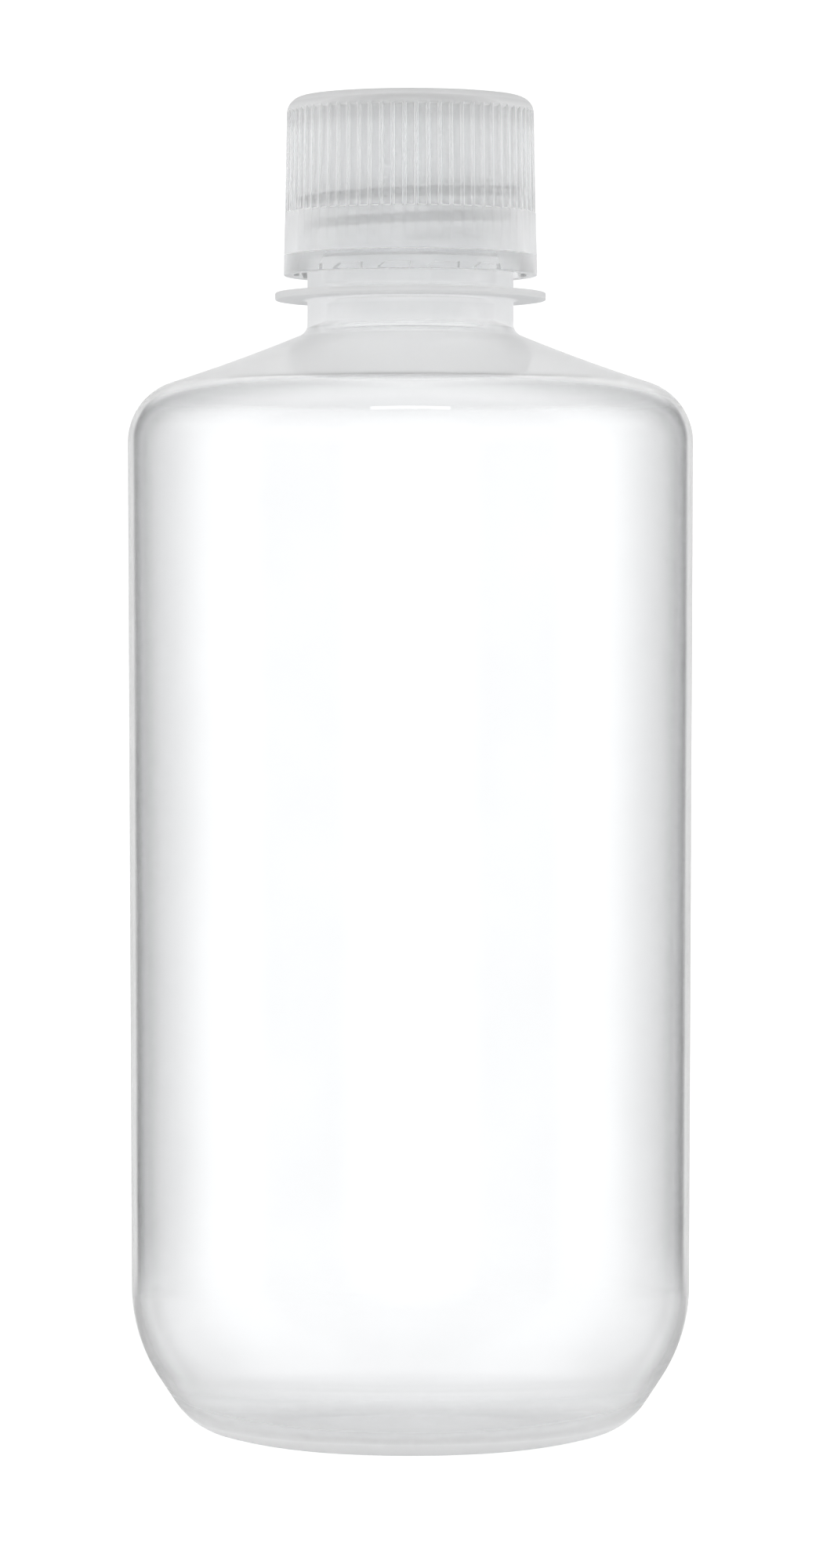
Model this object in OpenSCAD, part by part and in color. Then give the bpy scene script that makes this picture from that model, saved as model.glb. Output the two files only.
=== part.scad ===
// Narrow-mouth reagent bottle of natural polypropylene, one litre, with a knurled screw cap,
// a tamper-evident ring and a sealing liner. Millimetres, +Z up. The origin is on the axis,
// in the plane that the bottle stands on.

/* [Body] */
// Outer diameter just under the shoulder
body_top_d = 91.8; // [86:0.1:98]
// Outer diameter just above the heel, where the wall starts to rise straight
body_low_d = 90.5; // [86:0.1:96]
// Height at which the shoulder starts
shoulder_z = 163.2; // [120:0.1:200]
// Wall thickness just under the shoulder
wall_top = 0.8; // [0.6:0.05:1.5]
// Wall thickness just above the heel
wall_low = 1.2; // [0.8:0.05:2]

/* [Base and heel] */
// Outer diameter of the ring that the bottle stands on
foot_d = 37.8; // [34:0.2:42]
// Width of the flat of that ring
foot_w = 0.9; // [0.5:0.1:2]
// Rise of the middle of the base above the foot
push_up = 3.2; // [2:0.1:6]
// Wall thickness at the foot and in the middle of the base
wall_base = 1.8; // [1.2:0.1:3]
// Radius of the broad curve from the foot to the heel
sole_r = 66; // [50:1:80]
// Slope of that curve where it leaves the foot, in degrees
sole_slope = 4.8; // [2:0.1:8]
// Radius of the heel
heel_r = 13; // [10:0.5:15]
// Slope where the sole turns into the heel, in degrees
heel_low_slope = 15.3; // [12:0.1:18]
// Slope of the cone above the heel, in degrees
heel_slope = 56.6; // [52:0.1:60]
// Radius of the curve from that cone into the straight wall
waist_r = 26.5; // [20:0.5:28]

/* [Shoulder] */
// Radius of the shoulder's corner
shoulder_r = 9.9; // [6:0.1:12]
// Slope of the shoulder at its corner, in degrees
shoulder_low_slope = 18; // [16:0.1:20]
// Slope of the shoulder at the neck, in degrees
shoulder_top_slope = 22.5; // [21:0.1:26]
// Radius of the hollow corner between shoulder and neck
neck_fillet_r = 2.2; // [1.5:0.1:3]
// Wall thickness of the shoulder at the neck
wall_shoulder = 1.5; // [1:0.1:2]

/* [Neck] */
// Outer diameter of the neck
neck_d = 33.5; // [33:0.1:33.7]
// Diameter of the mouth's bore
bore_d = 30.7; // [28:0.1:31.5]
// Diameter of the support flange
flange_d = 44; // [42:0.5:50]
// Thickness of the support flange
flange_t = 1.2; // [1:0.1:1.8]
// Height of the plain neck under the flange
neck_free_h = 3.8; // [3:0.1:6]
// Height of the neck above the flange
finish_h = 29.6; // [29:0.1:31]

/* [Thread] */
// Rise of the thread in one turn
pitch = 4.233; // [4.1:0.001:4.3]
// Crest diameter of the neck's thread
thread_d = 36.7; // [36:0.1:36.9]
// Crest diameter of the cap's thread
cap_thread_d = 34.7; // [34.5:0.1:35]
// Turns of thread on the neck
neck_turns = 2.5; // [1.5:0.25:2.5]
// Turns of thread in the cap
cap_turns = 2; // [1:0.25:2]
// Width of a thread's crest
crest_w = 0.9; // [0.6:0.1:1]

/* [Cap] */
// Diameter over the collar's lower edge
collar_d = 41.24; // [41:0.02:41.6]
// Diameter over the knurl's lower end
knurl_low_d = 40.74; // [40.5:0.02:41]
// Diameter over the knurl's upper end
knurl_top_d = 40.2; // [40:0.02:40.4]
// Ribs around the knurl
rib_count = 66; // [30:1:72]
// Height of a rib
rib_h = 0.45; // [0.2:0.05:0.5]
// Thickness of the cap's top
cap_top_t = 1.35; // [1:0.05:2]
// Thickness of the sealing liner
liner_t = 0.85; // [0.5:0.05:1]

/* [Tamper-evident ring] */
// Height of the ring
ring_h = 3.05; // [2.8:0.05:3.2]
// Teeth inside the ring's lower edge
tooth_count = 15; // [6:1:20]
// Bridges that join the ring to the cap until it is first opened
bridge_count = 10; // [6:1:16]

/* [Hidden] */
natural_pp = [0.90, 0.92, 0.93, 0.55];
cap_pp = [0.86, 0.88, 0.89, 0.75];
liner_pe = [0.93, 0.93, 0.92, 0.85];
$fn = 96;
arc_step = 6;           // degrees of bend for each point of an outline
nib = 0.4;              // small chamfer at rims and lips

// Outline of the bottle, worked out from the foot upwards. A place on it is
// [radius, height, heading, wall], with the heading in degrees: 0 outwards, 90 up.
function last(list) = list[len(list) - 1];
function bend(from, heading, radius, wall) =
    let (side = heading > from[2] ? 1 : -1,
         n = max(2, ceil(abs(heading - from[2]) / arc_step)))
    [for (i = [1:n]) let (f = i / n, a = from[2] + (heading - from[2]) * f)
        [from[0] + side * radius * (sin(a) - sin(from[2])),
         from[1] - side * radius * (cos(a) - cos(from[2])),
         a, from[3] + (wall - from[3]) * f]];
function ahead(from, length) =
    [from[0] + length * cos(from[2]), from[1] + length * sin(from[2]), from[2], from[3]];
function outer(p) = [p[0], p[1]];
function inner(p) = [p[0] - p[3] * sin(p[2]), p[1] + p[3] * cos(p[2])];
function reverse(list) = [for (i = [len(list) - 1:-1:0]) list[i]];

neck_r = neck_d / 2;
bore_r = bore_d / 2;
neck_wall = neck_r - bore_r;
foot = [foot_d / 2, 0, sole_slope, wall_base];
sole = bend(foot, heel_low_slope, sole_r, wall_base * 0.85);
heel = bend(last(sole), heel_slope, heel_r, wall_low * 1.15);
heel_cone = (body_low_d / 2 - waist_r * (1 - sin(heel_slope)) - last(heel)[0]) / cos(heel_slope);
cone_top = ahead(last(heel), heel_cone);
waist = bend(cone_top, 90, waist_r, wall_low);
under_shoulder = [body_top_d / 2, shoulder_z, 90, wall_top];
corner = bend(under_shoulder, 180 - shoulder_low_slope, shoulder_r, wall_shoulder * 0.8);
slope_end_r = neck_r + neck_fillet_r * (1 - sin(shoulder_top_slope));
slope_r = (last(corner)[0] - slope_end_r) / (sin(shoulder_top_slope) - sin(shoulder_low_slope));
slope = bend(last(corner), 180 - shoulder_top_slope, slope_r, wall_shoulder);
neck_corner = bend(last(slope), 90, neck_fillet_r, neck_wall);
profile = concat([foot], sole, heel, [cone_top], waist, [under_shoulder], corner, slope, neck_corner);

// Hollow under the base: a dome between the axis and the inside of the foot
dome_w = foot_d / 2 - foot_w - nib;
dome_r = (dome_w * dome_w + (push_up - nib) * (push_up - nib)) / (2 * (push_up - nib));
dome_steps = 6;
function dome(lift) = [for (i = [0:dome_steps]) let (r = dome_w * i / dome_steps)
    [r, lift + push_up - dome_r + sqrt(dome_r * dome_r - r * r)]];

// Heights of the neck's features
flange_z = last(profile)[1] + neck_free_h;
flange_top = flange_z + flange_t;
lip_z = flange_top + finish_h;
ring_z = flange_top + 2.8;                 // lower edge of the tamper ring, as moulded
ring_top = ring_z + ring_h;
bead_z = ring_z + 2.5;                     // lower face of the neck's retaining bead
bead_r = 18.4;
bead_h = 0.6;
bead_ramp = 0.9;
neck_thread_z = bead_z + 2.62;             // middle of the neck's thread where it starts
neck_thread_a = -106;
ring_gap = 0.2;                            // between ring and cap, spanned by the bridges
slip = 0.05;                               // running gap between faces that meet

// Cap
cap_z = ring_top + ring_gap;
seal_gap = 0.02;
cap_ceiling = lip_z + liner_t + 2 * seal_gap;
cap_top = cap_ceiling + cap_top_t;
cap_low_bore_r = 19.06;
cap_bore_r = 18.75;
bore_step_z = cap_z + 5.6;
knurl_z = cap_z + 6.95;
knurl_top = cap_top - 3;
cap_corner_r = 2.8;
collar_r = collar_d / 2;
knurl_low_r = knurl_low_d / 2;
knurl_top_r = knurl_top_d / 2;
cap_side_r = 20.03;                        // where the side meets the top's round corner
thread_drop = 1.45;                        // the cap's thread runs this far below the neck's
cap_thread_a = 76;
cap_thread_z = neck_thread_z + pitch * (cap_thread_a - neck_thread_a) / 360 - thread_drop;

// A thread: its cross-section, swept up a helix. Both ends run out over a short arc.
thread_steps = 36;
run_out = 4;
thread_flare = 0.6;                        // each flank's lean between crest and root
function thread_ring(i, n, root_r, crest_r) =
    let (a = 360 * i / thread_steps,
         f = min(1, (i + 0.5) / run_out, (n - i + 0.5) / run_out),
         tip = root_r + (crest_r - root_r) * (0.3 + 0.7 * f),
         z = pitch * i / thread_steps,
         half = crest_w / 2)
    [for (q = [[root_r, -half - thread_flare], [tip, -half], [tip, half], [root_r, half + thread_flare]])
        [q[0] * cos(a), q[0] * sin(a), z + q[1]]];
function quad(a, b, c, d, flip) = flip ? [[a, d, c], [a, c, b]] : [[a, b, c], [a, c, d]];
module thread(turns, root_r, crest_r) {
    n = round(turns * thread_steps);
    outward = crest_r > root_r;
    points = [for (i = [0:n]) each thread_ring(i, n, root_r, crest_r)];
    sides = [for (i = [0:n - 1]) for (k = [0:3])
        each quad(4 * i + k, 4 * i + (k + 1) % 4, 4 * i + 4 + (k + 1) % 4, 4 * i + 4 + k, !outward)];
    ends = concat(quad(3, 2, 1, 0, !outward), quad(4 * n, 4 * n + 1, 4 * n + 2, 4 * n + 3, !outward));
    polyhedron(points, concat(ends, sides), convexity = 8);
}

module bottle() {
    flange_r = flange_d / 2;
    rim = 0.3;
    outside = concat(
        dome(0),
        [[foot_d / 2 - foot_w, 0]],
        [for (p = profile) outer(p)],
        [[neck_r, flange_z],
         [flange_r - rim, flange_z],
         [flange_r, flange_z + rim],
         [flange_r, flange_top - rim],
         [flange_r - rim, flange_top],
         [neck_r, flange_top],
         [neck_r, bead_z],
         [bead_r, bead_z],
         [bead_r, bead_z + bead_h],
         [neck_r, bead_z + bead_h + bead_ramp],
         [neck_r, lip_z - nib],
         [neck_r - nib, lip_z]]);
    inside = concat(
        [[bore_r + nib, lip_z],
         [bore_r, lip_z - nib]],
        reverse([for (p = profile) inner(p)]),
        reverse(dome(wall_base)));
    color(natural_pp) union() {
        rotate_extrude() polygon(concat(outside, inside));
        translate([0, 0, neck_thread_z]) rotate([0, 0, neck_thread_a])
            thread(neck_turns, neck_r - 0.4, thread_d / 2);
    }
}

module rib() {
    foot_w = 0.8;
    crest = 0.42;
    sunk = 0.3;
    lean = atan((knurl_low_r - knurl_top_r) / (knurl_top - knurl_z));
    translate([knurl_low_r, 0, knurl_z - 0.1]) rotate([0, -lean, 0])
        linear_extrude(knurl_top - knurl_z + 0.2)
            polygon([[-rib_h - sunk, -foot_w / 2], [-rib_h, -foot_w / 2], [0, -crest / 2],
                     [0, crest / 2], [-rib_h, foot_w / 2], [-rib_h - sunk, foot_w / 2]]);
}

module cap() {
    bead_under_liner = 0.45;
    corner = [for (a = [0:15:90])
        [cap_side_r - cap_corner_r * (1 - cos(a)), cap_top - cap_corner_r * (1 - sin(a))]];
    gate_r = 2;
    outside = concat(
        [[collar_r - (collar_r - knurl_low_r) * ring_h / (knurl_z - ring_z), cap_z],
         [knurl_low_r, knurl_z - 0.15],
         [knurl_low_r - rib_h, knurl_z + 0.1],
         [knurl_top_r - rib_h, knurl_top - 0.3],
         [knurl_top_r, knurl_top + 0.1]],
        corner,
        [[gate_r, cap_top], [gate_r - 0.3, cap_top - 0.3], [0, cap_top - 0.3]]);
    inside = [
        [0, cap_ceiling],
        [cap_bore_r, cap_ceiling],
        [cap_bore_r, lip_z - 0.1],
        [cap_bore_r - bead_under_liner, lip_z - 0.4],
        [cap_bore_r, lip_z - 1.2],
        [cap_bore_r, bore_step_z + 0.3],
        [cap_low_bore_r, bore_step_z],
        [cap_low_bore_r, cap_z]];
    color(cap_pp) union() {
        rotate_extrude() polygon(concat(outside, inside));
        for (i = [0:rib_count - 1]) rotate([0, 0, 360 * i / rib_count]) rib();
        translate([0, 0, cap_thread_z]) rotate([0, 0, cap_thread_a])
            thread(cap_turns, cap_bore_r + 0.55, cap_thread_d / 2);
    }
}

module liner() {
    liner_r = cap_bore_r - 0.35;
    color(liner_pe) translate([0, 0, lip_z + seal_gap]) cylinder(h = liner_t, r = liner_r);
}

// One tooth inside the ring's lower edge: steep on one side, slanted on the other
module ring_tooth() {
    low_w = 2.3;
    slant = 1.9;
    tooth_h = 1.2;
    tooth_in = 1.05;
    rotate([90, 0, 90]) translate([0, ring_z + 0.1, cap_low_bore_r - tooth_in])
        linear_extrude(tooth_in + 0.4)
            polygon([[0, 0], [low_w, 0], [low_w + slant, tooth_h + 0.1], [0, tooth_h + 0.1]]);
}

module tamper_ring() {
    ledge_z = ring_z + 1.2;
    ledge_h = 1;
    ledge_r = 18;
    tooth_a = 6;
    bridge_w = 0.8;
    bridge_a = tooth_a + 2.4;              // clear of the teeth's slanted sides
    collar_cone = (collar_r - knurl_low_r) / (knurl_z - ring_z);
    color(cap_pp) union() {
        rotate_extrude() polygon([
            [cap_low_bore_r, ring_z],
            [collar_r - 0.3, ring_z],
            [collar_r, ring_z + 0.3],
            [collar_r - collar_cone * ring_h, ring_top],
            [cap_low_bore_r, ring_top],
            [cap_low_bore_r, ledge_z + ledge_h + 0.4],
            [ledge_r, ledge_z + ledge_h],
            [ledge_r, ledge_z],
            [cap_low_bore_r, ledge_z]]);
        for (i = [0:tooth_count - 1]) rotate([0, 0, tooth_a + 360 * i / tooth_count]) ring_tooth();
        for (i = [0:bridge_count - 1]) rotate([0, 0, bridge_a + 360 * i / bridge_count])
            translate([cap_low_bore_r + 0.25, -bridge_w / 2, ring_top - 0.3])
                cube([0.9, bridge_w, 0.3 + ring_gap - slip]);
    }
}

bottle();
cap();
liner();
tamper_ring();
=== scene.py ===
"""A one-litre polypropylene reagent bottle with its screw cap, tamper ring and liner, in a plain
studio. Shapes are worked out in millimetres; MM turns them into Blender's metres."""

import math

import bpy
import numpy as np
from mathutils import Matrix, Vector


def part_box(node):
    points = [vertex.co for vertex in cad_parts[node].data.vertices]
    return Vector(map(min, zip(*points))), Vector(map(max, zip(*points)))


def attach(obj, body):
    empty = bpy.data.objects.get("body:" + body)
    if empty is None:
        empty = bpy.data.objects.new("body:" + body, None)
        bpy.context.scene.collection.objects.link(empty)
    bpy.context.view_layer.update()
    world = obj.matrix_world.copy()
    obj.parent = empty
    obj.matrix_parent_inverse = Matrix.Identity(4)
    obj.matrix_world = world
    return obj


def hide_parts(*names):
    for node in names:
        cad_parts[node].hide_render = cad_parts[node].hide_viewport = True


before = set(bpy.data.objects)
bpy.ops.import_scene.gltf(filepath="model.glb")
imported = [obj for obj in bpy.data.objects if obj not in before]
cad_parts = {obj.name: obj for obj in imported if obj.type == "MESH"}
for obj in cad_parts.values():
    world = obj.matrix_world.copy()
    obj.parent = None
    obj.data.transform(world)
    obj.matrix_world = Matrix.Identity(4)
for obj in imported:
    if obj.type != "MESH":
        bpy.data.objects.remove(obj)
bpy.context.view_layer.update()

MM = 0.001

# ---------------------------------------------------------------- measures in mm, as in the CAD
LIP_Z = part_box("bottle")[1].z / MM
RING_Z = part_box("tamper_ring")[0].z / MM
CAP_Z, CAP_TOP = (corner.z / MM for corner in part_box("cap"))

NECK_R, BORE_R = 16.75, 15.35
FLANGE_R, FLANGE_T = 22.0, 1.2
FLANGE_TOP = LIP_Z - 29.6
FLANGE_Z = FLANGE_TOP - FLANGE_T
BEAD_R, BEAD_Z = 18.4, RING_Z + 2.5
BEAD_TOP = BEAD_Z + 1.5
BODY_R, LOW_BODY_R, SHOULDER_Z = 45.9, 45.25, 163.2
FOOT_R = 18.9
# The hollow of the base: its radius and rise, and its middle's height outside and inside.
DOME_R, DOME_RISE = 17.6, 2.8
DOME_Z, INNER_DOME_Z = 3.2, 5.0

# Threads: half a crest's width, a flank's width and the part of a turn in which an end runs out;
# then for each thread its start's height and angle in degrees, and its number of turns.
PITCH = 4.233
CREST_HALF, FLANK_W, RUN_OUT_TURNS = 0.45, 0.6, 0.07
NECK_THREAD_Z, NECK_THREAD_A, NECK_TURNS = BEAD_Z + 2.62, -106, 2.5
CAP_THREAD_A, CAP_TURNS = 76, 2
CAP_THREAD_Z = NECK_THREAD_Z + PITCH * (CAP_THREAD_A - NECK_THREAD_A) / 360 - 1.45
NECK_THREAD_R, CAP_THREAD_R = 18.35, 17.35

# The cap, and the ring that goes on below it.
RING_TOP = RING_Z + 3.15
KNURL_Z, KNURL_TOP = CAP_Z + 6.95, CAP_TOP - 3
COLLAR_R, KNURL_LOW_R, KNURL_MID_R, KNURL_TOP_R = 20.62, 20.37, 20.3, 20.1
RING_TOP_R = COLLAR_R - (COLLAR_R - KNURL_LOW_R) * (RING_TOP - RING_Z) / (KNURL_Z - RING_Z)
LOW_BORE_R, CAP_BORE_R = 19.06, 18.75
RIBS, RIB_H = 66, 0.45
TEETH, TOOTH_R, LEDGE_R = 15, 18.02, 18.0
LINER_R, LINER_T = 18.4, 0.81


# ---------------------------------------------------------------- outlines
def sine(degrees):
    return math.sin(math.radians(degrees))


def cosine(degrees):
    return math.cos(math.radians(degrees))


def bend(start, heading, radius, wall, step=2.5):
    """Places along an arc from start = (r, z, heading, wall) until it points along heading: three
    or more, at most step degrees and about 1.6 mm apart."""
    r0, z0, a0, w0 = start
    side = 1 if heading > a0 else -1
    turn = abs(heading - a0)
    count = max(3, math.ceil(turn / step), math.ceil(radius * turn / 90))
    places = []
    for i in range(1, count + 1):
        share = i / count
        a = a0 + (heading - a0) * share
        r = r0 + side * radius * (sine(a) - sine(a0))
        z = z0 - side * radius * (cosine(a) - cosine(a0))
        places.append((r, z, a, w0 + (wall - w0) * share))
    return places


def straight(start, end, longest):
    """Places from start, left out, to end, no further apart than longest."""
    length = math.hypot(end[0] - start[0], end[1] - start[1])
    count = max(1, math.ceil(length / longest))
    return [tuple(s + (e - s) * i / count for s, e in zip(start, end)) for i in range(1, count + 1)]


def inner(place):
    """The point a wall's thickness inside a place on the outer outline."""
    r, z, heading, wall = place
    return r - wall * sine(heading), z + wall * cosine(heading)


def rounded(corners, step=18):
    """An outline through corners = (r, z, rounding radius), each rounded with an arc in parts of
    at most step degrees."""
    points = []
    for i, (r, z, radius) in enumerate(corners):
        here = Vector((r, z))
        if not radius or i in (0, len(corners) - 1):
            points.append((r, z))
            continue
        back = (Vector(corners[i - 1][:2]) - here).normalized()
        on = (Vector(corners[i + 1][:2]) - here).normalized()
        half = back.angle(on) / 2
        cut = radius / math.tan(half)
        centre = here + (back + on).normalized() * radius / math.sin(half)
        first, last = here + back * cut - centre, here + on * cut - centre
        turn = first.angle_signed(last)
        count = max(2, math.ceil(abs(math.degrees(turn)) / step))
        for k in range(count + 1):
            a = -turn * k / count
            points.append((centre.x + first.x * math.cos(a) - first.y * math.sin(a),
                           centre.y + first.x * math.sin(a) + first.y * math.cos(a)))
    return points


def filled(points, longest, low=-math.inf, high=math.inf):
    """The outline with points added, so that between the heights low and high its steps are no
    longer than longest."""
    out = [points[0]]
    for start, end in zip(points, points[1:]):
        rise = end[1] - start[1]
        shares = [(level - start[1]) / rise for level in (low, high)] if rise else []
        cuts = sorted(share for share in shares if 0 < share < 1)
        stops = [tuple(s + (e - s) * cut for s, e in zip(start, end)) for cut in cuts] + [end]
        for stop in stops:
            middle = (out[-1][1] + stop[1]) / 2
            out += straight(out[-1], stop, longest) if low <= middle <= high else [stop]
    return out


# ---------------------------------------------------------------- meshes
POLE_R = 1e-6
SHARP_FROM = math.radians(42)


def smooth(x):
    """x held to 0..1, with soft ends."""
    x = np.clip(x, 0, 1)
    return x * x * (3 - 2 * x)


def lathe(name, outline, angles, shape=None):
    """A mesh turned round the axis. outline is the list of (r, z), closed or from pole to pole;
    shape(r, z, a) may move the points, given as arrays of rows by columns in mm and radians."""
    r, z = (np.array(column)[:, None] for column in zip(*outline))
    r, z, a = np.broadcast_arrays(r, z, np.asarray(angles)[None, :])
    if shape:
        r, z, a = shape(r.copy(), z.copy(), a.copy())
    rows, columns = r.shape
    first_pole, last_pole = outline[0][0] < POLE_R, outline[-1][0] < POLE_R
    points = np.stack([r * np.cos(a), r * np.sin(a), z], 2).reshape(-1, 3) * MM
    index = np.arange(rows * columns).reshape(rows, columns)
    if first_pole:
        index[0] = index[0, 0]
    if last_pole:
        index[-1] = index[-1, 0]
    following = index if first_pole or last_pole else np.vstack([index, index[:1]])
    faces = []
    for low, high in zip(following, following[1:]):
        quads = np.stack([low, np.roll(low, -1), np.roll(high, -1), high], 1)
        faces += [list(dict.fromkeys(quad)) for quad in quads.tolist()]
    used = np.unique(index)
    renumber = np.zeros(rows * columns, int)
    renumber[used] = np.arange(len(used))
    mesh = bpy.data.meshes.new(name)
    mesh.from_pydata(points[used].tolist(), [], [[renumber[i] for i in face] for face in faces])
    mesh.validate()
    mesh.shade_smooth()
    mesh.set_sharp_from_angle(angle=SHARP_FROM)
    piece = bpy.data.objects.new(name, mesh)
    bpy.context.scene.collection.objects.link(piece)
    return piece


def helix_height(z, a, start_z, start_a, turns):
    """How much of a thread's height stands at each (z, a): 1 on the crest, 0 off the thread."""
    height = np.zeros(np.broadcast(z, a).shape)
    past = np.mod(a - math.radians(start_a), 2 * math.pi)
    for k in range(math.ceil(turns) + 1):
        along = past / (2 * math.pi) + k
        off = np.abs(z - start_z - PITCH * along)
        ends = smooth(np.minimum(along, turns - along) / RUN_OUT_TURNS)
        flank = smooth((CREST_HALF + FLANK_W - off) / FLANK_W)
        height = np.maximum(height, flank * ends * (along <= turns))
    return height


# ---------------------------------------------------------------- bottle
# The parting ridge on two sides, the pinch-off across the base and the waves of the inner wall.
SEAM_H, SEAM_W = 0.05, 0.25
PINCH_H, PINCH_W, PINCH_END_R = 0.35, 0.4, 14
WAVE_H = 0.03


def bottle_outline():
    """Outer places (r, z, heading, wall) from the foot to the top of the fillet under the neck."""
    cone, shoulder, slope = 56.6, 162, 157.5
    heel_rounding, fillet = 26.5, 2.2
    foot = (FOOT_R, 0.0, 4.8, 1.8)
    places = [foot]
    places += bend(foot, 15.3, 66, 1.53)
    places += bend(places[-1], cone, 13, 1.38)
    r, z, _, wall = places[-1]
    cone_run = LOW_BODY_R - heel_rounding * (1 - sine(cone)) - r
    cone_top = (r + cone_run, z + cone_run * math.tan(math.radians(cone)), cone, wall)
    places += straight(places[-1], cone_top, 1.2)
    places += bend(cone_top, 90, heel_rounding, 1.2)
    places += straight(places[-1], (BODY_R, SHOULDER_Z, 90, 0.8), 3)
    places += bend(places[-1], shoulder, 9.9, 0.88)
    slope_end = NECK_R + fillet * (1 - sine(180 - slope))
    slope_rounding = (places[-1][0] - slope_end) / (sine(180 - slope) - sine(180 - shoulder))
    places += bend(places[-1], slope, slope_rounding, 1.25, step=0.4)
    places += bend(places[-1], 90, fillet, NECK_R - BORE_R, step=6)
    return places


def dome(middle_z, count=9):
    """The hollow of the base, from the axis out."""
    radius = (DOME_R ** 2 + DOME_RISE ** 2) / (2 * DOME_RISE)
    reach = [DOME_R * i / count for i in range(count + 1)]
    return [(r, middle_z - radius + math.sqrt(radius ** 2 - r ** 2)) for r in reach]


places = bottle_outline()
standing_ring = [(17.72, 0.18), (17.85, 0.05), (18.0, 0.0), (18.45, 0.0)]
outside = dome(DOME_Z) + standing_ring + [place[:2] for place in places]
neck = rounded([(NECK_R, places[-1][1], 0),
                (NECK_R, FLANGE_Z, 0.5), (FLANGE_R, FLANGE_Z, 0.2),
                (FLANGE_R, FLANGE_TOP, 0.2), (NECK_R, FLANGE_TOP, 0.4),
                (NECK_R, BEAD_Z, 0.2), (BEAD_R, BEAD_Z, 0.15),
                (BEAD_R, BEAD_Z + 0.6, 0.2), (NECK_R, BEAD_TOP, 0.3),
                (NECK_R, LIP_Z, 0.5), (BORE_R, LIP_Z, 0.5), (BORE_R, LIP_Z - 2, 0)])
outside = filled(outside + filled(neck, 0.16, BEAD_TOP, LIP_Z - 8)[1:], 4)
OUTER_ROWS = len(outside)
inside = [inner(place) for place in reversed(places)] + dome(INNER_DOME_Z)[::-1]
seam_offsets = (-0.6, -0.35, -0.18, 0.18, 0.35, 0.6)
seam_columns = [side + offset / 46 for side in (0, math.pi) for offset in seam_offsets]
even_columns = np.arange(240) * math.pi / 120
columns = np.sort(np.mod(np.concatenate([even_columns, seam_columns]), 2 * math.pi))


def bottle_shape(r, z, a):
    """The thread, the mould's parting ridges, the pinch-off under the base and an uneven wall."""
    outer = np.arange(len(r))[:, None] < OUTER_ROWS
    on_neck = outer & (z > BEAD_TOP) & (z < LIP_Z - 5)
    thread = helix_height(z, a, NECK_THREAD_Z, NECK_THREAD_A, NECK_TURNS)
    r = r + on_neck * thread * (NECK_THREAD_R - r)
    from_seam = np.sin(a) * r
    ridge = SEAM_H * outer * np.exp(-(from_seam / SEAM_W) ** 2)
    r = r + ridge * smooth((r - 20) / 10) * (z < FLANGE_Z - 1)
    on_base = outer & (z < 5) & (r < DOME_R - 0.1)
    pinch = PINCH_H * on_base * np.exp(-(from_seam / PINCH_W) ** 2)
    z = z - pinch * smooth((PINCH_END_R - r) / 3)
    waves = 0.5 * np.sin(2 * a + z / 23) + 0.3 * np.sin(3 * a - z / 17 + 1.3)
    waves = waves + 0.2 * np.sin(5 * a + z / 9)
    r = r + WAVE_H * waves * smooth((z - 12) / 15) * smooth((170 - z) / 12) * ~outer
    return r, z, a


bottle = lathe("bottle_body", outside + filled(outside[-1:] + inside, 4)[1:], columns, bottle_shape)


# ---------------------------------------------------------------- cap
# Half a rib in section: how far round from its middle in mm, and how deep (1 is the valley).
RIB_SECTION = ((0.16, 0.0), (0.235, 0.12), (0.30, 0.5), (0.37, 0.9), (0.45, 1.0))


def rib_columns():
    """The columns' angles, and how deep each lies in the knurl: 0 on a rib, 1 in a valley."""
    period = 2 * math.pi / RIBS
    half = [(offset / KNURL_MID_R, depth) for offset, depth in RIB_SECTION]
    other_half = [(period - offset, depth) for offset, depth in reversed(half)]
    one = half + [(period / 2, 1.0)] + other_half
    pairs = [(k * period + offset, depth) for k in range(RIBS) for offset, depth in one]
    return (np.array(column) for column in zip(*pairs))


cap_angles, cap_depths = rib_columns()
ceiling = LIP_Z + 0.89
cap_inside = rounded([(0, ceiling, 0), (CAP_BORE_R, ceiling, 0.3),
                      (CAP_BORE_R, LIP_Z + 0.1, 0.1), (CAP_BORE_R - 0.45, LIP_Z - 0.4, 0.15),
                      (CAP_BORE_R, LIP_Z - 1.2, 0.2), (CAP_BORE_R, CAP_Z + 5.9, 0.1),
                      (LOW_BORE_R, CAP_Z + 5.6, 0.1), (LOW_BORE_R, CAP_Z, 0.15),
                      (LOW_BORE_R + 0.7, CAP_Z, 0)])
cap_inside = filled(cap_inside, 0.16, CAP_Z + 0.4, CAP_THREAD_Z + PITCH * CAP_TURNS + 1.5)
CAP_INNER_ROWS = len(cap_inside)
cap_outside = rounded([(LOW_BORE_R + 0.7, CAP_Z, 0), (RING_TOP_R, CAP_Z, 0.04),
                       (KNURL_LOW_R, KNURL_Z - 0.15, 0)])
cap_outside += straight(cap_outside[-1], (KNURL_LOW_R - 0.005, KNURL_Z + 0.1), 0.05)
cap_outside += straight(cap_outside[-1], (KNURL_TOP_R, KNURL_TOP - 0.3), 2.5)
cap_outside += straight(cap_outside[-1], (KNURL_TOP_R, KNURL_TOP), 0.2)
cap_outside += rounded([cap_outside[-1] + (0,), (20.03, CAP_TOP, 2.75), (2.0, CAP_TOP, 0.1),
                        (1.7, CAP_TOP - 0.3, 0.1), (0, CAP_TOP - 0.3, 0)], 4)[1:]


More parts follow.
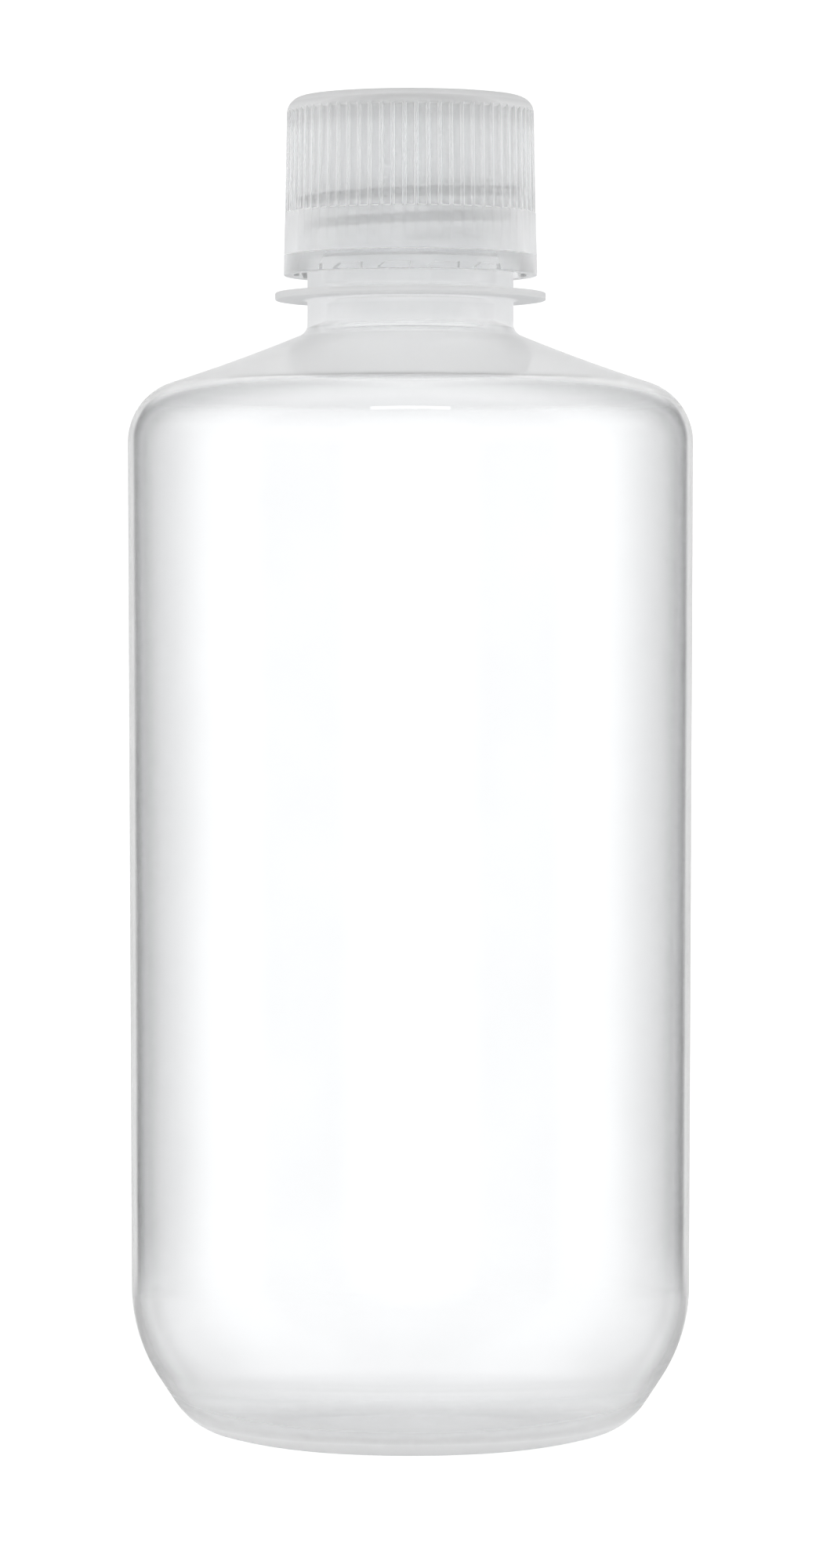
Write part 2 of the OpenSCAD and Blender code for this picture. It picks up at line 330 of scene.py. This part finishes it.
def cap_shape(r, z, a):
    """The ribs of the knurl outside and the thread inside."""
    outer = np.arange(len(r))[:, None] >= CAP_INNER_ROWS
    valley = smooth((z - KNURL_Z + 0.15) / 0.25) * smooth((KNURL_TOP + 0.8 - z) / 0.6)
    thread = helix_height(z, a, CAP_THREAD_Z, CAP_THREAD_A, CAP_TURNS)
    on_bore = ~outer & (z < LIP_Z - 2) & (z > CAP_Z + 0.3)
    r = r - outer * valley * RIB_H * cap_depths - on_bore * thread * (r - CAP_THREAD_R)
    return r, z, a


cap = lathe("screw_cap", cap_inside + cap_outside[1:], cap_angles, cap_shape)


# ---------------------------------------------------------------- tamper ring
TOOTH_A = 6
TOOTH_LOW_W, TOOTH_HIGH_W, TOOTH_TOP = 2.3, 4.2, 1.2
BRIDGE_H, BRIDGE_LOW_R, BRIDGE_HIGH_R = 0.05, 19.31, 20.21
# How far along a tooth, in mm, the columns of a bridge lie; it stands on the middle two.
BRIDGE_COLUMNS = (0.43, 0.48, 1.18, 1.23)


def ring_columns():
    """Each column as (tooth number, is it on the tooth, share of the way over it or over the gap
    behind it, is it a bridge)."""
    gap_w = 2 * math.pi * LOW_BORE_R / TEETH - TOOTH_HIGH_W
    on_tooth = sorted([(share, False) for share in (0.01, 0.25, 0.5, 0.75, 0.99)]
                      + [(off / TOOTH_HIGH_W, 0 < i < 3) for i, off in enumerate(BRIDGE_COLUMNS)])
    in_gap = sorted([(share, False) for share in (0.01, 0.4, 0.6, 0.8, 0.99)]
                    + [((off - 0.2) / gap_w, 0 < i < 3) for i, off in enumerate(BRIDGE_COLUMNS)])
    cells = []
    for k in range(TEETH):
        cells += [(k, 1, share, bridge and k % 3 == 0) for share, bridge in on_tooth]
        cells += [(k, 0, share, bridge and k % 3 == 1) for share, bridge in in_gap]
    return [np.array(column) for column in zip(*cells)]


ring_cells = ring_columns()


def ring_shape(r, z, a):
    """Teeth inside the lower edge, steep on one side and slanted on the other, and the bridges."""
    number, on_tooth, share, is_bridge = ring_cells
    step = 2 * math.pi / TEETH
    widening = np.clip((z - RING_Z - 0.1) / 1.3, 0, 1)
    width = (TOOTH_LOW_W + (TOOTH_HIGH_W - TOOTH_LOW_W) * widening) / LOW_BORE_R
    across = np.where(on_tooth == 1, share * width, width + share * (step - width))
    a = math.radians(TOOTH_A) + number * step + across
    tooth_rows = (z > RING_Z + 0.09) & (z < RING_Z + TOOTH_TOP + 0.01)
    tooth_face = tooth_rows & (np.abs(r - LOW_BORE_R) < 0.02) & (on_tooth == 1)
    r = np.where(tooth_face, TOOTH_R, r)
    bridge_rows = (z > RING_TOP - 0.01) & (r > BRIDGE_LOW_R + 0.01) & (r < BRIDGE_HIGH_R - 0.01)
    return r, z + BRIDGE_H * (bridge_rows & is_bridge), a


ring_outline = rounded([(LOW_BORE_R + 0.3, RING_Z, 0), (COLLAR_R, RING_Z, 0.25),
                        (RING_TOP_R, RING_TOP, 0.04), (BRIDGE_HIGH_R, RING_TOP, 0)])
ring_outline += [(BRIDGE_HIGH_R - 0.03, RING_TOP), (BRIDGE_LOW_R + 0.03, RING_TOP),
                 (BRIDGE_LOW_R, RING_TOP)]
ring_outline += rounded([(BRIDGE_LOW_R, RING_TOP, 0), (LOW_BORE_R, RING_TOP, 0.1),
                         (LOW_BORE_R, RING_Z + 2.6, 0.1), (LEDGE_R, RING_Z + 2.2, 0.12),
                         (LEDGE_R, RING_Z + TOOTH_TOP, 0.05), (LOW_BORE_R, RING_Z + TOOTH_TOP, 0),
                         (LOW_BORE_R, RING_Z + 0.1, 0), (LOW_BORE_R, RING_Z + 0.08, 0),
                         (LOW_BORE_R + 0.08, RING_Z, 0)])[1:]
no_angles = np.zeros(len(ring_cells[0]))
ring = lathe("tamper_evident_ring", ring_outline, no_angles, ring_shape)


# ---------------------------------------------------------------- liner
LIP_MARK_R, LIP_MARK_H = 16, 0.06


def liner_shape(r, z, a):
    """The mark that the lip presses into the lower face, and the sheet's faint unevenness."""
    on_low_face = z < LIP_Z + 0.3
    mark = LIP_MARK_H * np.exp(-((r - LIP_MARK_R) / 0.45) ** 2) * on_low_face
    return r, z + mark + 0.01 * np.sin(3 * a) * (r < 17), a


liner_low = LIP_Z + 0.04
liner_top = liner_low + LINER_T
low_face = [(r, liner_low) for r in np.linspace(0, LINER_R - 0.3, 40)]
rim = rounded([low_face[-1] + (0,), (LINER_R, liner_low, 0.12), (LINER_R, liner_top, 0.12),
               (14, liner_top, 0), (0, liner_top, 0)])
liner = lathe("sealing_liner", low_face + rim[1:], np.arange(144) * math.pi / 72, liner_shape)

for piece, node, slot in ((bottle, "bottle", "bottle_pp"), (cap, "cap", "cap_pp"),
                          (ring, "tamper_ring", "ring_pp"), (liner, "liner", "liner_pe")):
    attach(piece, node)
    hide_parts(node)


# ---------------------------------------------------------------- node helpers
def new_node(tree, kind, inputs=(), **settings):
    """A new node. inputs gives its sockets values or links, settings its own properties."""
    node = tree.nodes.new(kind)
    for name, value in settings.items():
        setattr(node, name, value)
    for name, value in dict(inputs).items():
        if hasattr(value, "is_output"):
            tree.links.new(value, node.inputs[name])
        else:
            node.inputs[name].default_value = value
    return node


def calculated(tree, operation, *values):
    inputs = dict(enumerate(values))
    return new_node(tree, "ShaderNodeMath", inputs, operation=operation).outputs[0]


def times(tree, *values):
    product = values[0]
    for value in values[1:]:
        product = calculated(tree, "MULTIPLY", product, value)
    return product


def spread(tree, value, low, high, low_to, high_to, **settings):
    """value from low..high as low_to..high_to, held at the ends."""
    inputs = {"Value": value, "From Min": low, "From Max": high,
              "To Min": low_to, "To Max": high_to}
    return new_node(tree, "ShaderNodeMapRange", inputs, **settings).outputs[0]


def ease(tree, value, low, high):
    """value from low..high as 0..1, with soft ends."""
    return spread(tree, value, low, high, 0, 1, interpolation_type="SMOOTHSTEP")


def above(tree, length, low, high):
    """0 where length is below low, 1 where it is above high, both in mm."""
    return spread(tree, length, low * MM, high * MM, 0, 1)


def below(tree, length, low, high):
    """1 where length is below low, 0 where it is above high, both in mm."""
    return spread(tree, length, low * MM, high * MM, 1, 0)


def mix(tree, share, low, high):
    """low where share is 0, high where it is 1."""
    node = new_node(tree, "ShaderNodeMix", {"Factor": share}, data_type="FLOAT")
    for socket, value in ((node.inputs[2], low), (node.inputs[3], high)):
        if hasattr(value, "is_output"):
            tree.links.new(value, socket)
        else:
            socket.default_value = value
    return node.outputs[0]


def noise(tree, place, scale, detail, roughness=0.5):
    inputs = {"Vector": place, "Scale": scale, "Detail": detail, "Roughness": roughness}
    return new_node(tree, "ShaderNodeTexNoise", inputs).outputs[0]


# ---------------------------------------------------------------- materials
IOR = 1.49
# The plastic's cloud: the power that makes its colour paler, the share of its light that goes on
# through the wall, and how many times more of it is seen at a full slant.
CLOUD_GAMMA = 0.4
CLOUD_THROUGH = 0.6
CLOUD_SLANT = 8.0


def by_height(tree, height, stops):
    """A value that goes in a straight line from one (height in mm, value) to the next."""
    ramp = new_node(tree, "ShaderNodeValToRGB", {0: times(tree, height, 1 / (CAP_TOP * MM))})
    marks = ramp.color_ramp.elements
    while len(marks) < len(stops):
        marks.new(1.0)
    for mark, (z, value) in zip(marks, stops):
        mark.position = z / CAP_TOP
        mark.color = (value, value, value, 1)
    return ramp.outputs[0]


def with_painted_shade(tree, colour, *painted_shades):
    """colour with painted shade: made darker for each (share, depth), by depth where share is 1."""
    for share, depth in painted_shades:
        factor = spread(tree, share, 0, 1, 1, 1 - depth)
        grey = new_node(tree, "ShaderNodeCombineColor", {0: factor, 1: factor, 2: factor})
        node = new_node(tree, "ShaderNodeMix", {"Factor": 1.0}, data_type="RGBA",
                        blend_type="MULTIPLY")
        tree.links.new(colour, node.inputs[6])
        tree.links.new(grey.outputs[0], node.inputs[7])
        colour = node.outputs[2]
    return colour


def painted_cap_shade(tree, colour, radius, height):
    """Painted shade: the colour is made darker in the valleys of the knurl, in the thread and
    toward the top.
    """
    cone = spread(tree, height, KNURL_Z * MM, KNURL_TOP * MM, KNURL_LOW_R * MM, KNURL_TOP_R * MM)
    sunk = calculated(tree, "SUBTRACT", cone, radius)
    valley = times(tree, above(tree, sunk, 0.1 * RIB_H, 0.8 * RIB_H),
                   below(tree, sunk, 1.1 * RIB_H, 1.3 * RIB_H),
                   above(tree, height, KNURL_Z, KNURL_Z + 0.2))
    thread = times(tree, below(tree, radius, CAP_BORE_R - 0.6, CAP_BORE_R - 0.1),
                   below(tree, height, LIP_Z - 2, LIP_Z - 1.8))
    top = above(tree, height, KNURL_TOP - 3, CAP_TOP - 0.5)
    return with_painted_shade(tree, colour, (valley, 0.12), (thread, 0.5), (top, 0.35))


def painted_ring_shade(tree, colour, radius, height):
    """Painted shade: the colour is made darker on the sides of the teeth."""
    sides = times(tree, above(tree, radius, TOOTH_R + 0.08, TOOTH_R + 0.18),
                  below(tree, radius, LOW_BORE_R - 0.21, LOW_BORE_R - 0.11),
                  below(tree, height, RING_Z + TOOTH_TOP - 0.1, RING_Z + TOOTH_TOP - 0.05))
    return with_painted_shade(tree, colour, (sides, 0.6))


def painted_bottle_shade(tree, colour, radius, height):
    """Painted shade: the colour is made darker on the flange, bead and thread, over the neck and
    toward the foot.
    """
    flange_bead_and_thread = times(tree, above(tree, radius, NECK_R + 0.3, NECK_R + 1),
                  above(tree, height, FLANGE_Z - 0.3, FLANGE_Z - 0.05))
    neck = above(tree, height, FLANGE_Z - 12, FLANGE_Z - 6)
    foot = below(tree, height, 0, 5)
    return with_painted_shade(tree, colour, (flange_bead_and_thread, 0.3), (neck, 0.05), (foot, 0.4))


def tinted(tree, slow, low, high):
    """The plastic's own colour, from low to high with the slow noise."""
    node = new_node(tree, "ShaderNodeMix", {"Factor": spread(tree, slow, 0.35, 0.65, 0, 1)},
                    data_type="RGBA")
    node.inputs[6].default_value = low + (1,)
    node.inputs[7].default_value = high + (1,)
    return node.outputs[2]


def clouded(tree, clear, colour, normal, share):
    """The clear shader with a share of light that the plastic's bulk scatters, more of it where
    the surface is seen at a slant and the path through the plastic is longer."""
    pale = new_node(tree, "ShaderNodeGamma", {0: colour, 1: CLOUD_GAMMA}).outputs[0]
    inputs = {"Color": pale, "Normal": normal}
    back = new_node(tree, "ShaderNodeBsdfDiffuse", inputs).outputs[0]
    through = new_node(tree, "ShaderNodeBsdfTranslucent", inputs).outputs[0]
    cloud = new_node(tree, "ShaderNodeMixShader", {0: CLOUD_THROUGH, 1: back, 2: through})
    slanting = new_node(tree, "ShaderNodeLayerWeight", {"Blend": 0.5}).outputs["Facing"]
    longer = calculated(tree, "MULTIPLY_ADD", times(tree, slanting, slanting), CLOUD_SLANT, 1.0)
    inputs = {0: times(tree, share, longer), 1: clear, 2: cloud.outputs[0]}
    return new_node(tree, "ShaderNodeMixShader", inputs).outputs[0]


def plastic(name, tints, roughness, milky, grain, wave, painted_shade_part=None):
    """Translucent moulded plastic. tints and roughness are (low, high) pairs, milky lists (height
    in mm, share of light that the plastic's bulk scatters there), grain and wave are the depths in
    metres of the fine skin and of the slow unevenness, and the last argument, a function of (tree,
    colour, radius, height), paints shade into the colour at some places."""
    material = bpy.data.materials.new(name)
    material.use_nodes = True
    tree = material.node_tree
    shader = tree.nodes["Principled BSDF"]
    place = new_node(tree, "ShaderNodeTexCoord").outputs["Object"]
    x, y, height = new_node(tree, "ShaderNodeSeparateXYZ", {0: place}).outputs
    slow = noise(tree, place, scale=45, detail=2)
    skin = noise(tree, place, scale=900, detail=2)
    scuffs = noise(tree, place, scale=160, detail=6, roughness=0.7)
    colour = tinted(tree, slow, *tints)
    # Painted shade: the colour is made darker at some places.
    if painted_shade_part:
        flat = new_node(tree, "ShaderNodeCombineXYZ", {0: x, 1: y}).outputs[0]
        radius = new_node(tree, "ShaderNodeVectorMath", {0: flat}, operation="LENGTH")
        colour = painted_shade_part(tree, colour, radius.outputs["Value"], height)
    fine = new_node(tree, "ShaderNodeBump", {"Height": skin, "Strength": 1.0, "Distance": grain})
    normal = new_node(tree, "ShaderNodeBump", {"Height": slow, "Strength": 1.0, "Distance": wave,
                                               "Normal": fine.outputs[0]}).outputs[0]
    scuffed = spread(tree, scuffs, 0.35, 0.75, *roughness)
    for socket, value in (("Base Color", colour), ("Normal", normal), ("Roughness", scuffed)):
        tree.links.new(value, shader.inputs[socket])
    shader.inputs["IOR"].default_value = IOR
    shader.inputs["Transmission Weight"].default_value = 1.0
    share = by_height(tree, height, milky)
    surface = clouded(tree, shader.outputs[0], colour, normal, share)
    tree.links.new(surface, tree.nodes["Material Output"].inputs["Surface"])
    return material


bottle_tints = (0.955, 0.96, 0.965), (0.97, 0.975, 0.98)
closure_tints = (0.95, 0.955, 0.96), (0.965, 0.97, 0.975)
liner_tints = (0.93, 0.93, 0.92), (0.96, 0.96, 0.95)
bottle_milky = [(1, 0.35), (4, 0.14), (8, 0.04), (14, 0.01), (22, 0.005), (168, 0.005),
                (173, 0.1), (182, 0.12), (FLANGE_Z - 6, 0.4), (FLANGE_Z - 0.6, 0.4),
                (FLANGE_Z + 0.1, 0.8), (FLANGE_TOP - 0.1, 0.8), (FLANGE_TOP + 0.6, 0.35)]
cap_milky = [(CAP_Z, 0.27), (KNURL_Z, 0.29), (KNURL_Z + 3, 0.32), (KNURL_TOP - 1, 0.33),
             (LIP_Z + 1, 0.5)]
ring_milky = [(RING_Z, 0.14), (RING_TOP, 0.16)]
liner_milky = [(LIP_Z, 0.85), (CAP_TOP, 0.86)]
looks = {
    bottle: plastic("natural_pp_bottle", bottle_tints, roughness=(0.03, 0.08), milky=bottle_milky,
                    grain=0.000001, wave=0.00002, painted_shade_part=painted_bottle_shade),
    cap: plastic("natural_pp_cap", closure_tints, roughness=(0.18, 0.28), milky=cap_milky,
                 grain=0.000001, wave=0.00001, painted_shade_part=painted_cap_shade),
    ring: plastic("natural_pp_ring", closure_tints, roughness=(0.12, 0.2), milky=ring_milky,
                  grain=0.000001, wave=0.00001, painted_shade_part=painted_ring_shade),
    liner: plastic("milky_pe_liner", liner_tints, roughness=(0.4, 0.6), milky=liner_milky,
                   grain=0.00001, wave=0.00003),
}
for piece, material in looks.items():
    piece.data.materials.append(material)


# ---------------------------------------------------------------- studio
# Where the cards begin and end, by how far a place lies ahead: 1 is straight behind the bottle,
# 0 beside it and -1 in front.
PANEL_EDGE = 0.88, 0.93
CARDS_END = 0.5, -0.17
FRONT_CARDS_FROM, FRONT_CARDS_TO = (-0.3, -0.5), (-0.95, -0.85)
OVER_PANEL_EDGE = 0.85, 0.95
# The same in the world, by the z of a direction: 1 is straight up, -1 straight down.
OVER_PANEL_Z = 0.2, 0.4
CEILING_Z = 0.4, 0.75
GROUND_Z = -0.12, -0.25
# Where the floor's painted shadow near the foot gives way to the brightness of the rest, in metres
# from the axis.
CLEAR_OF_FOOT = 0.03, 0.13
# A ray with more bounces than this has been scattered about inside the plastic.
LONGEST_MIRRORED = 12.5


def behind(tree, x, y):
    """How far a place lies toward the back wall: 1 straight behind, 0 beside, -1 in front."""
    flat = new_node(tree, "ShaderNodeCombineXYZ", {0: x, 1: y}).outputs[0]
    level = new_node(tree, "ShaderNodeVectorMath", {0: flat}, operation="NORMALIZE").outputs[0]
    return new_node(tree, "ShaderNodeSeparateXYZ", {0: level}).outputs[1]


def carded(tree, ahead, cards, front_cards, front, panel):
    """What is mirrored: the panel straight behind, dark cards round it, light beside and in front,
    and paler cards in front for what is seen from behind."""
    sides = mix(tree, ease(tree, ahead, *CARDS_END), cards, front)
    facing = times(tree, ease(tree, ahead, *FRONT_CARDS_FROM), ease(tree, ahead, *FRONT_CARDS_TO))
    all_cards = mix(tree, facing, sides, front_cards)
    return mix(tree, ease(tree, ahead, *PANEL_EDGE), all_cards, panel)


def only_mirrored(tree, plain, seen):
    """plain brightness, but seen in what is mirrored. Light that is scattered about inside the
    plastic has a longer path, and finds the plain brightness too."""
    path = new_node(tree, "ShaderNodeLightPath").outputs
    once = calculated(tree, "MINIMUM", path["Glossy Depth"], 1.0)
    short = calculated(tree, "LESS_THAN", path["Ray Depth"], LONGEST_MIRRORED)
    return mix(tree, times(tree, once, short), plain, seen)


def studio_world(wall, ceiling, ground, cards, front_cards, panel, over_panel):
    """Soft light from a pale room: a wall all round, a ceiling and the ground, and the cards."""
    world = bpy.data.worlds.new("studio")
    bpy.context.scene.world = world
    world.use_nodes = True
    tree = world.node_tree
    direction = new_node(tree, "ShaderNodeTexCoord").outputs["Generated"]
    x, y, z = new_node(tree, "ShaderNodeSeparateXYZ", {0: direction}).outputs
    plain = mix(tree, ease(tree, z, *CEILING_Z), wall, ceiling)
    plain = mix(tree, ease(tree, z, *GROUND_Z), plain, ground)
    over = times(tree, ease(tree, z, *OVER_PANEL_Z),
                 ease(tree, behind(tree, x, y), *OVER_PANEL_EDGE))
    seen = mix(tree, over, carded(tree, y, cards, front_cards, 1.0, panel), over_panel)
    tree.links.new(only_mirrored(tree, plain, seen), tree.nodes["Background"].inputs["Color"])
    world.cycles.sampling_method = "NONE"


def disc(name, radius, rings=24, columns=96):
    """A flat, round mesh in the plane z = 0."""
    points = [(0, 0, 0)]
    for i in range(1, rings + 1):
        r = radius * (i / rings)
        angles = [2 * math.pi * k / columns for k in range(columns)]
        points += [(r * math.cos(a), r * math.sin(a), 0) for a in angles]
    faces = [(0, 1 + k, 1 + (k + 1) % columns) for k in range(columns)]
    for low in range(1, 1 + (rings - 1) * columns, columns):
        high = low + columns
        for k in range(columns):
            on = (k + 1) % columns
            faces.append((low + k, high + k, high + on, low + on))
    mesh = bpy.data.meshes.new(name)
    mesh.from_pydata(points, [], faces)
    return mesh


def floor_material(radius, fade_from, paint, glow, cards, front, panel, under, mirrored_shadow_glow):
    """A pale, faintly glowing paint that melts into the wall's light from fade_from to radius.
    Through the bottle and in what it mirrors, its glow is dimmer close round the foot: a painted
    shadow. In what the bottle mirrors, its glow is also darker where the cards stand round it: a
    painted reflection."""
    material = bpy.data.materials.new("pale_floor")
    material.use_nodes = True
    tree = material.node_tree
    tree.nodes.clear()
    place = new_node(tree, "ShaderNodeTexCoord").outputs["Object"]
    x, y, _ = new_node(tree, "ShaderNodeSeparateXYZ", {0: place}).outputs
    away = new_node(tree, "ShaderNodeVectorMath", {0: place}, operation="LENGTH").outputs["Value"]
    painted = new_node(tree, "ShaderNodeBsdfDiffuse", {"Color": (paint, paint, paint, 1)})
    clear_of_foot = ease(tree, away, *CLEAR_OF_FOOT)
    direct = new_node(tree, "ShaderNodeLightPath").outputs["Is Camera Ray"]
    # Painted shadow: for all but camera rays the glow is dimmer close round the foot.
    plain = mix(tree, direct, mix(tree, clear_of_foot, under, glow), glow)
    # Painted reflection and painted shadow: in what the bottle mirrors, the glow is darker where
    # the cards stand and close round the foot.
    around = carded(tree, behind(tree, x, y), cards, front, front, panel)
    seen = mix(tree, clear_of_foot, mirrored_shadow_glow, around)
    glowing = new_node(tree, "ShaderNodeEmission", {"Strength": only_mirrored(tree, plain, seen)})
    lit = new_node(tree, "ShaderNodeAddShader", {0: painted.outputs[0], 1: glowing.outputs[0]})
    melted = new_node(tree, "ShaderNodeBsdfTransparent")
    both = new_node(tree, "ShaderNodeMixShader", {0: ease(tree, away, fade_from, radius),
                                                  1: lit.outputs[0], 2: melted.outputs[0]})
    new_node(tree, "ShaderNodeOutputMaterial", {0: both.outputs[0]})
    return material


studio_world(wall=1.15, ceiling=0.88, ground=1.08, cards=0.0, front_cards=0.6, panel=0.77,
             over_panel=1.0)

FLOOR_R = 0.6
floor = bpy.data.objects.new("floor", disc("floor", FLOOR_R))
bpy.context.scene.collection.objects.link(floor)
# Painted shadow round the foot: the last two values are the floor's glow there, through the bottle
# and in what the bottle mirrors.
floor.data.materials.append(
    floor_material(FLOOR_R, fade_from=0.2, paint=0.12, glow=0.98, cards=0.45, front=0.85,
                   panel=0.69, under=0.82, mirrored_shadow_glow=0.5))

softbox = bpy.data.objects.new("softbox", bpy.data.lights.new("softbox", "AREA"))
bpy.context.scene.collection.objects.link(softbox)
softbox.data.shape = "RECTANGLE"
softbox.data.size, softbox.data.size_y = 0.5, 0.1
softbox.data.energy = 0.8
reach, lift, aim_z = 1.0, math.radians(42), 0.17
softbox.location = (0, -reach * math.cos(lift), aim_z + reach * math.sin(lift))
softbox.rotation_euler = (math.radians(90) - lift, 0, 0)
softbox.visible_camera = False
softbox.visible_transmission = False
softbox.visible_diffuse = False

camera = bpy.data.objects.new("camera", bpy.data.cameras.new("camera"))
bpy.context.scene.collection.objects.link(camera)
camera.location = (0.00017, -1.2869, 0.1076)
camera.rotation_euler = (math.radians(90), 0, 0)
camera.data.lens = 181.8
camera.data.sensor_width = 36
bpy.context.scene.camera = camera

scene = bpy.context.scene
scene.view_settings.view_transform = "Standard"
scene.cycles.blur_glossy = 0.0
scene.cycles.max_bounces = 48
scene.cycles.diffuse_bounces = 32
scene.cycles.transmission_bounces = 48
scene.cycles.glossy_bounces = 32
scene.cycles.transparent_max_bounces = 16
